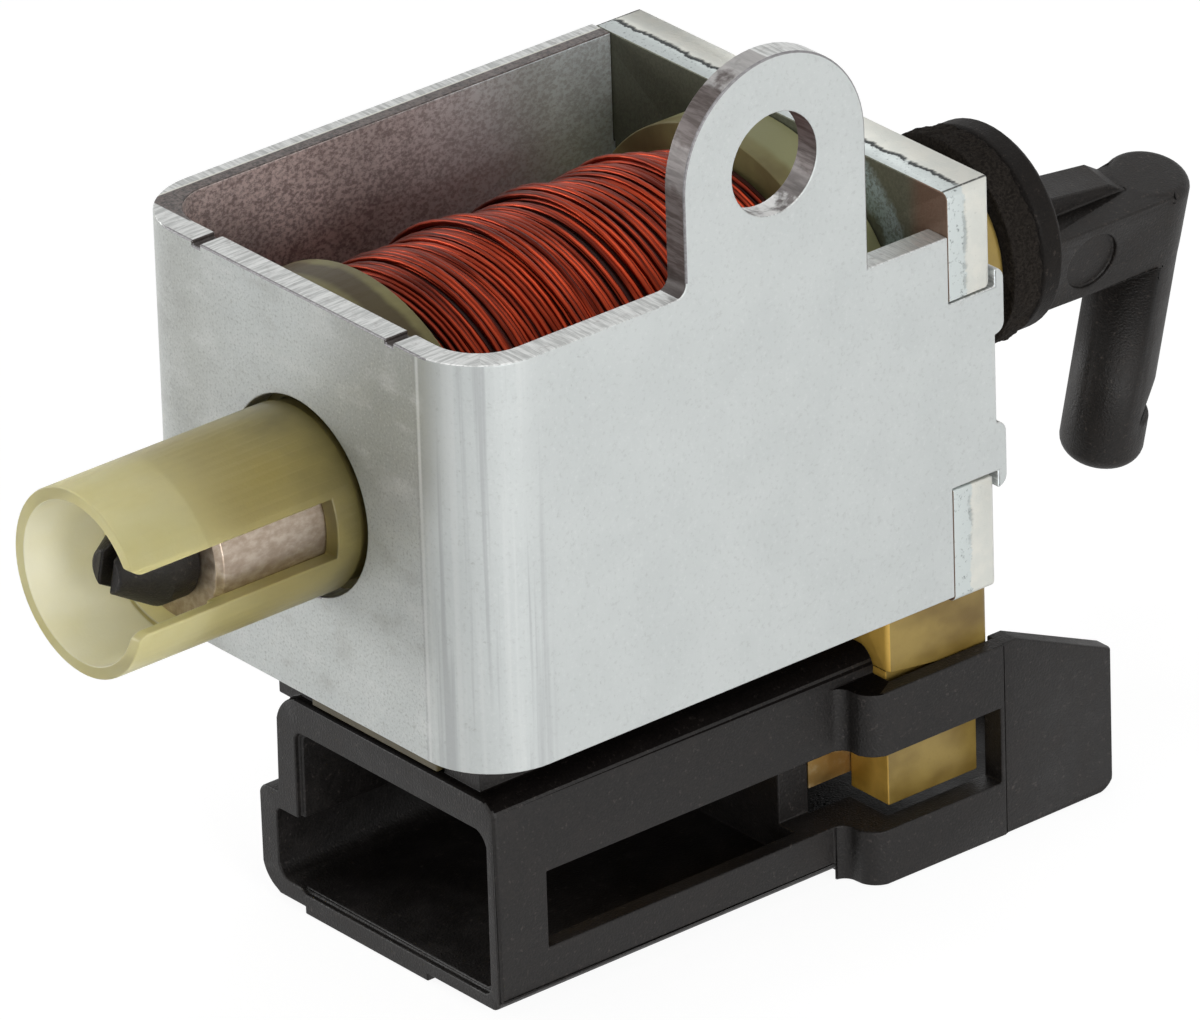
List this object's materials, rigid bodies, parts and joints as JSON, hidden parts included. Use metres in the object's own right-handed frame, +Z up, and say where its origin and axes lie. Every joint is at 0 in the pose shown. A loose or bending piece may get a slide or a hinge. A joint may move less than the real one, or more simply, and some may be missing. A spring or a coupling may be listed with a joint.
{
  "type": "ignition lock solenoid",
  "caption": "Spring-returned push solenoid in a bent steel frame with a mounting ear: copper coil on a nylon bobbin, plunger with a hooked plastic lock arm, and a plug connector below.",
  "frame": {"origin": "on the plunger's axis, where it crosses the outer face of the frame's front wall", "axes": "+X along the axis from the nose tube to the lock arm, +Z up towards the mounting ear, the ear's wall on the -Y side"},
  "size_m": [0.0731, 0.0278, 0.0502],
  "materials": {
    "steel_frame": "satin zinc plating",
    "steel_plate": "bright zinc plating, sheared edges",
    "nylon": "natural nylon, slightly translucent",
    "copper_wire": "enamelled copper wire",
    "core_steel": "ground soft iron",
    "spring_steel": "drawn spring wire",
    "foam": "closed-cell foam",
    "black_plastic": "fine moulded grain",
    "terminal_metal": "stamped, tin-flashed brass"
  },
  "bodies": {
    "base": {"frame": "steel_frame", "end_plate": "steel_plate", "bobbin": "nylon", "coil_winding": "copper_wire", "lead_start": "copper_wire", "lead_finish": "copper_wire", "pole_piece": "core_steel", "rear_guide": "nylon", "return_spring": "spring_steel", "connector_housing": "black_plastic", "terminal_near": "terminal_metal", "terminal_far": "terminal_metal"},
    "plunger": {"plunger": "core_steel"},
    "arm": {"lock_arm": "black_plastic", "foam_bumper": "foam"}
  },
  "joints": [
    {"name": "plunger_slide", "type": "slide", "parent": "base", "child": "plunger", "axis": [1, 0, 0], "range_m": [0, 0.0055], "stiffness_N_per_m": 100, "springref_m": -0.01, "deforming": ["return_spring"]},
    {"name": "arm_turn", "type": "hinge", "parent": "plunger", "child": "arm", "pos_m": [0, 0, 0], "axis": [1, 0, 0], "continuous": true}
  ]
}
